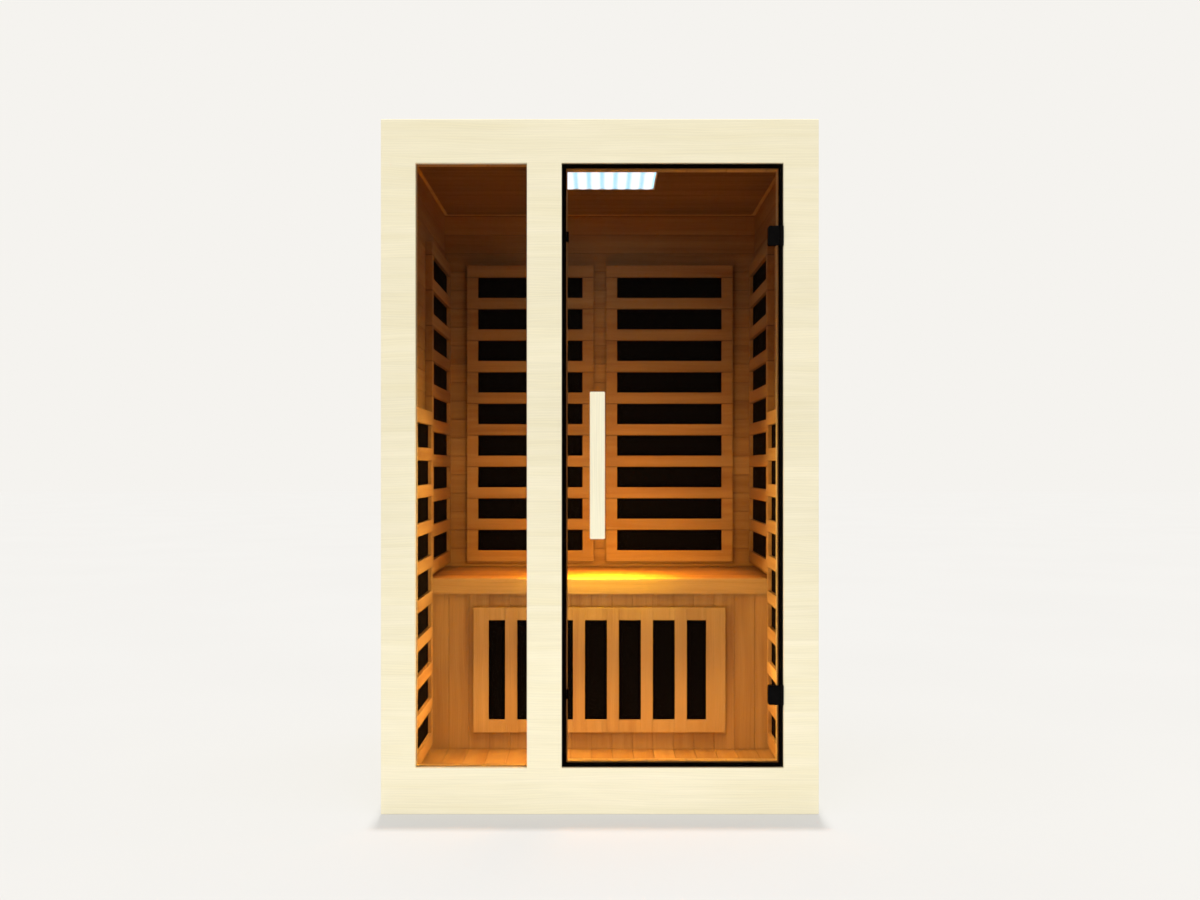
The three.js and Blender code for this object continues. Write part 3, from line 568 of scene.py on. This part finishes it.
def add_spot(name, place, target, colour, power, cone, blend, softness):
    beam = {"spot_size": math.radians(cone), "spot_blend": blend, "shadow_soft_size": softness}
    add_lamp(name, "SPOT", place, target, colour, power, **beam)


def add_sheet(name, place, target, colour, power, width, height, spread=None):
    """A flat rectangular lamp; spread, in degrees, narrows its beam."""
    sheet = {"shape": "RECTANGLE", "size": width, "size_y": height}
    if spread is not None:
        sheet["spread"] = math.radians(spread)
    add_lamp(name, "AREA", place, target, colour, power, **sheet)


def add_room_light():
    world = bpy.data.worlds.new("studio")
    world.use_nodes = True
    sky = world.node_tree.nodes["Background"]
    sky.inputs["Color"].default_value = linear(*STUDIO_TONE)
    bpy.context.scene.world = world

    # The sun leans back a little, for the narrow shadow in front of the cabin
    add_lamp("above", "SUN", (0, 0.146, 4), (0, 0, 2), WHITE, 2.2, angle=math.radians(1.4))
    add_spot("front_left", (-3, -7, 2.0), (0, -0.5, 0.8), WHITE, 122, 40, 0.5, 0.8)
    add_spot("front_right", (3, -7, 2.0), (0, -0.5, 0.8), WHITE, 122, 40, 0.5, 0.8)
    add_spot("front_foot", (0, -3.2, 0.5), (0, -0.5, 0.02), COOL, 40, 44, 1.0, 0.3)


def add_cabin_light():
    """Lamps inside the cabin: name, place, target, colour, power, width, height, spread."""
    add_sheet("seat_glow", (0, 0.0, 0.72), (0, 0.47, 0.62), AMBER, 0.65, 0.9, 0.14)
    add_sheet("floor_glow", (0, -0.15, 0.46), (0, -0.15, 0.0), AMBER, 6.0, 0.96, 0.2, 100)
    add_sheet("wall_glow", (0, -0.35, 0.92), (0, 0.47, 0.86), AMBER, 2.6, 0.9, 0.32, 80)
    add_sheet("kick_glow", (0, -0.42, 0.34), (0, 0.06, 0.34), CLEAR, 3.1, 0.9, 0.32)
    side_place, side_target = (0, -0.32, 0.45), (0, 0, 0.45)
    add_lamp("side_glow", "POINT", side_place, side_target, AMBER, 1.5, shadow_soft_size=0.1)
    for name, side in (("left_glow", -1), ("right_glow", 1)):
        place, target = (side * 0.12, -0.22, 0.64), (side * 0.54, -0.22, 0.64)
        add_sheet(name, place, target, HONEY, 5.6, 0.25, 0.95, 92)
    add_sheet("ceiling_glow", (0.007, -0.046, 1.845), (0.007, -0.046, 0.0), DAY, 0.8, 0.3, 0.22)
    add_sheet("rim_glow", (0, 0.24, 0.72), (0, 0.24, 0.59), EMBER, 2.5, 0.94, 0.24, 120)
    add_sheet("nose_glow", (0, -0.04, 0.66), (0, 0.06, 0.56), AMBER, 0.65, 0.95, 0.03)
    add_sheet("brow_glow", (0, 0.11, 0.66), (0, 0.11, 0.59), EMBER, 1.1, 1.02, 0.06, 90)
    add_sheet("base_glow", (0, 0.33, 0.65), (0, 0.47, 0.61), EMBER, 0.45, 0.9, 0.03, 110)
    add_sheet("bench_glow", (0.01, 0.1, 0.77), (0.01, 0.1, 0.59), GOLD, 11.0, 0.24, 0.1, 125)
    add_sheet("edge_glow", (0.01, 0.0, 0.68), (0.01, 0.07, 0.594), STRAW, 1.5, 0.4, 0.03)


def add_camera():
    """Straight-on camera; the shift only sets the cabin as high in the frame as the photo does."""
    camera = bpy.data.cameras.new("camera")
    camera.lens = 35.37
    camera.sensor_width = 36.0
    camera.shift_y = 0.0139
    holder = add_object("camera", camera)
    holder.location = (0.0005, -3.7275, 0.9525)
    holder.rotation_euler = (math.pi / 2, 0, 0)
    bpy.context.scene.camera = holder


dress_outside()
dress_inside()
dress_structure()
glazing()
heater_face()
black_metal = dress_fittings()
lit_diffuser()
ease_edges()
add_screws(black_metal)
add_floor()
add_room_light()
add_cabin_light()
add_camera()
bpy.context.scene.view_settings.view_transform = "Standard"
